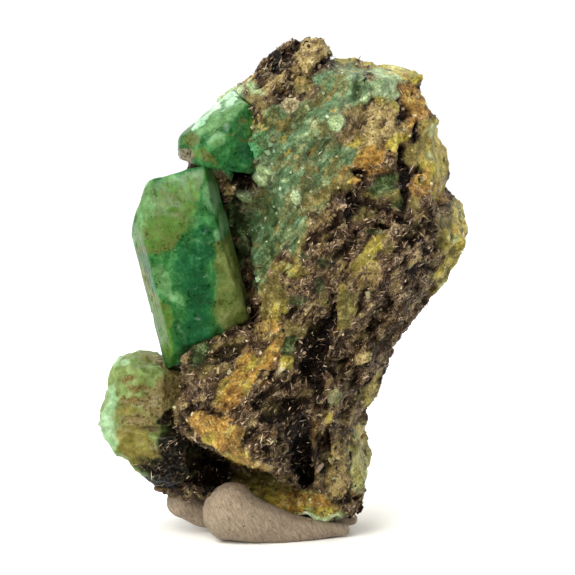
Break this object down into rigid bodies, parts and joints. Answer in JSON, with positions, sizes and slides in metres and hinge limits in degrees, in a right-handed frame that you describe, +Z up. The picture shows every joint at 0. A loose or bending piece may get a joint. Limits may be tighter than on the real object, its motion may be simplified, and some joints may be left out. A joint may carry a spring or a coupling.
{
  "type": "emerald in matrix",
  "caption": "Hand-sized rock of mica schist with a leaning hexagonal emerald prism and pale beryl grown in it, standing on pressed putty.",
  "frame": {"origin": "on the surface the putty stands on, under the middle of its flat base", "axes": "+Z up through the rock's long side, -Y out of the show side that faces the viewer, +X to the viewer's right"},
  "size_m": [0.0303, 0.0205, 0.041],
  "materials": {
    "mica_schist": null,
    "emerald": "cloudy green emerald with veils, satin natural faces and rusty specks",
    "pale_beryl": "pale green frosted beryl, yellowish below",
    "putty": "matt grey display putty, rolled by hand"
  },
  "bodies": {
    "root": {"matrix": "mica_schist", "emerald_prism": "emerald", "upper_emerald": "emerald", "pale_beryl": "pale_beryl", "mounting_putty": "putty"}
  },
  "joints": []
}
